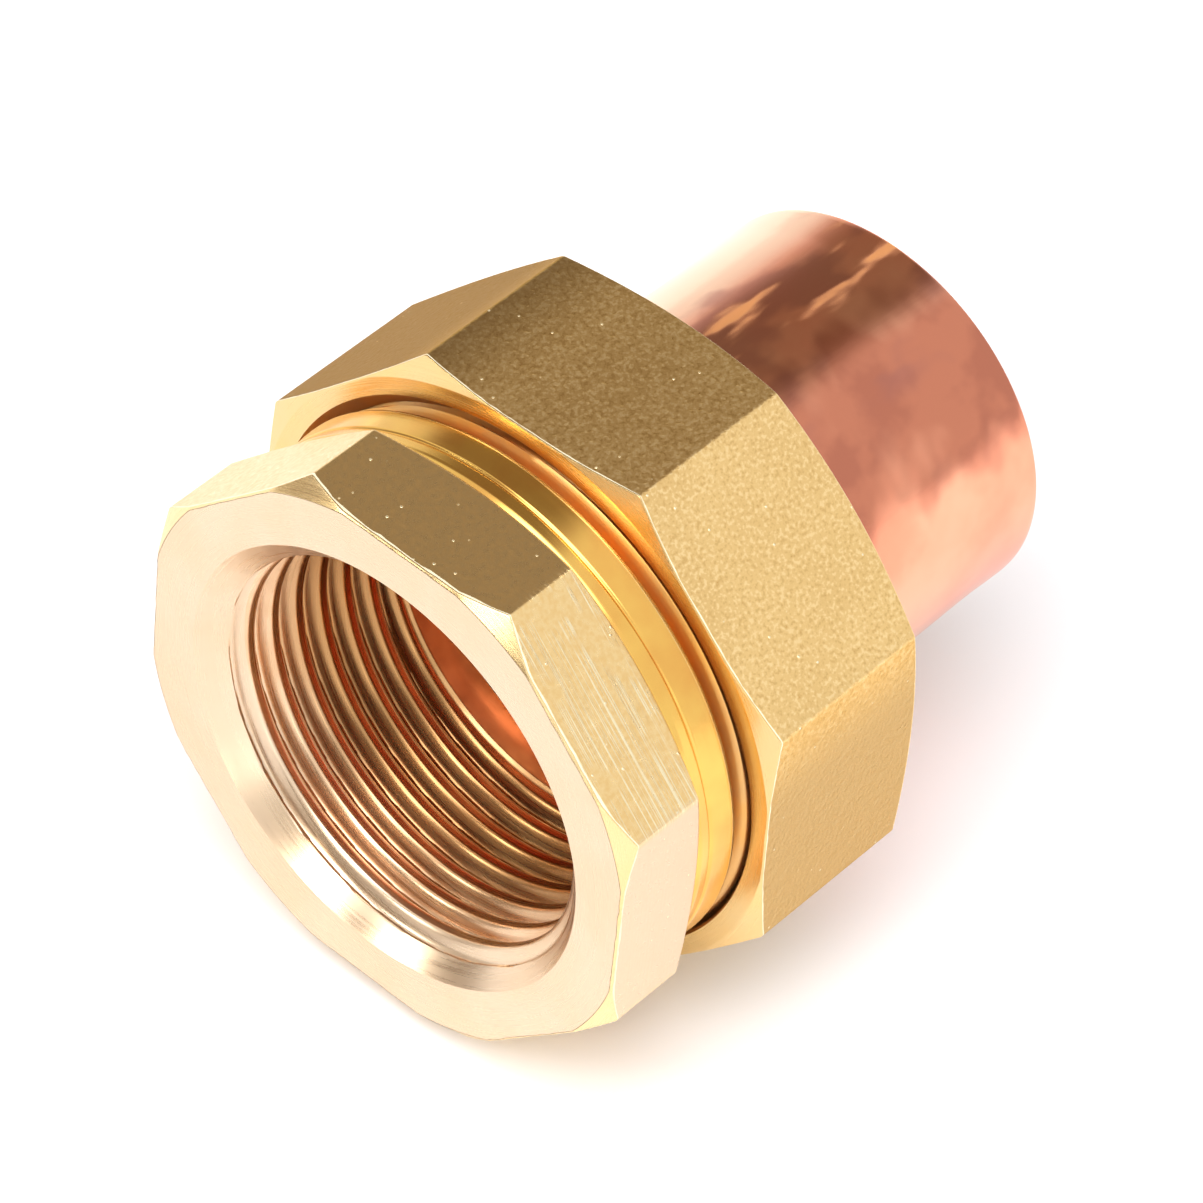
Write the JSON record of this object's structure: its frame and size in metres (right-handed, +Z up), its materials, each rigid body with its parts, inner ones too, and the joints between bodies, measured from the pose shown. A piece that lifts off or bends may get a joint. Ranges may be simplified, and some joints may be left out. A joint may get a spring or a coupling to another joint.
{
  "type": "pipe union",
  "caption": "Pipe union: threaded brass body with an octagonal union nut over a copper solder tailpiece; the nut unscrews to part the joint.",
  "frame": {"origin": "middle of the bounding box's base: half way along the axis, on the surface that the nut's lowest flat rests on", "axes": "+X along the union's axis from the threaded end to the solder cup, +Z up from the flat it lies on, +Y across"},
  "size_m": [0.0398, 0.036, 0.036],
  "materials": {
    "turned_brass": "satin turned brass",
    "forged_brass": "blasted forged brass with turned faces",
    "copper": null
  },
  "bodies": {
    "threaded_body": {"threaded_body": "turned_brass"},
    "tailpiece": {"solder_tailpiece": "copper"},
    "nut": {"union_nut": "forged_brass"}
  },
  "joints": [
    {"name": "tailpiece_withdraw", "type": "slide", "parent": "threaded_body", "child": "tailpiece", "axis": [1, 0, 0], "range_m": [0, 0.00925]},
    {"name": "nut_unscrew", "type": "hinge", "parent": "tailpiece", "child": "nut", "pos_m": [-0.0039, 0, 0.018], "axis": [1, 0, 0], "range_deg": [0, 1440]}
  ],
  "couplings": [
    {"joint": "tailpiece_withdraw", "follows": "nut_unscrew", "m_per_rad": 0.0003675}
  ]
}
